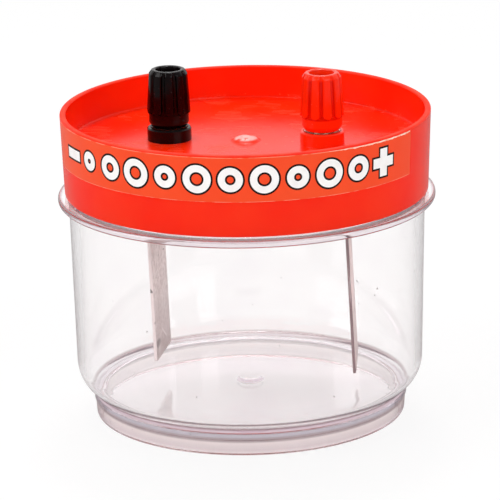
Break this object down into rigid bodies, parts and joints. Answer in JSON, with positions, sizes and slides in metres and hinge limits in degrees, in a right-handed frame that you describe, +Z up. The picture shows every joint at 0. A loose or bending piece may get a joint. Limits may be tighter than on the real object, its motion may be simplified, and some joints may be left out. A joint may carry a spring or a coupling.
{
  "type": "simple electrolysis cell",
  "caption": "Clear moulded jar with a stacking foot and a red lid that lifts off, carrying black and red fluted binding posts and a flat metal strip electrode under each.",
  "frame": {"origin": "middle of the jar's foot, on the surface it stands on", "axes": "+Z up, +X from the black post to the red one, -Y towards the middle of the label"},
  "size_m": [0.1026, 0.1026, 0.0949],
  "materials": {
    "clear_jar": "clear glossy moulding with fine scratches",
    "red_lid": "semi-gloss moulding",
    "label_film": null,
    "black_post": "gloss",
    "red_post": "gloss",
    "plated_brass": "nickel plated",
    "plated_steel": "zinc plated",
    "electrode_steel": "dull strip with scratches and spots from use"
  },
  "bodies": {
    "jar": {"jar": "clear_jar"},
    "lid": {"lid": "red_lid", "label": "label_film", "black_post_base": "black_post", "black_clamp_washer": "plated_brass", "black_stud": "plated_brass", "black_under_bush": "black_post", "black_flat_washer": "plated_steel", "black_panel_nut": "plated_steel", "black_electrode": "electrode_steel", "black_lock_washer": "plated_steel", "black_electrode_nut": "plated_steel", "red_post_base": "red_post", "red_clamp_washer": "plated_brass", "red_stud": "plated_brass", "red_under_bush": "red_post", "red_flat_washer": "plated_steel", "red_panel_nut": "plated_steel", "red_electrode": "electrode_steel", "red_lock_washer": "plated_steel", "red_electrode_nut": "plated_steel"},
    "black_insert": {"black_cap_insert": "plated_brass"},
    "black_cap": {"black_cap": "black_post"},
    "red_insert": {"red_cap_insert": "plated_brass"},
    "red_cap": {"red_cap": "red_post"}
  },
  "joints": [
    {"name": "lid_lift", "type": "slide", "parent": "jar", "child": "lid", "axis": [0, 0, 1], "range_m": [0, 0.08]},
    {"name": "black_cap_rise", "type": "slide", "parent": "lid", "child": "black_insert", "axis": [0, 0, 1], "range_m": [0, 0.0035]},
    {"name": "black_cap_turn", "type": "hinge", "parent": "black_insert", "child": "black_cap", "pos_m": [-0.021, 0, 0.0835], "axis": [0, 0, 1], "range_deg": [0, 1800]},
    {"name": "red_cap_rise", "type": "slide", "parent": "lid", "child": "red_insert", "axis": [0, 0, 1], "range_m": [0, 0.0035]},
    {"name": "red_cap_turn", "type": "hinge", "parent": "red_insert", "child": "red_cap", "pos_m": [0.021, 0, 0.0835], "axis": [0, 0, 1], "range_deg": [0, 1800]}
  ],
  "couplings": [
    {"joint": "black_cap_turn", "follows": "black_cap_rise", "rad_per_m": 8976},
    {"joint": "red_cap_turn", "follows": "red_cap_rise", "rad_per_m": 8976}
  ]
}
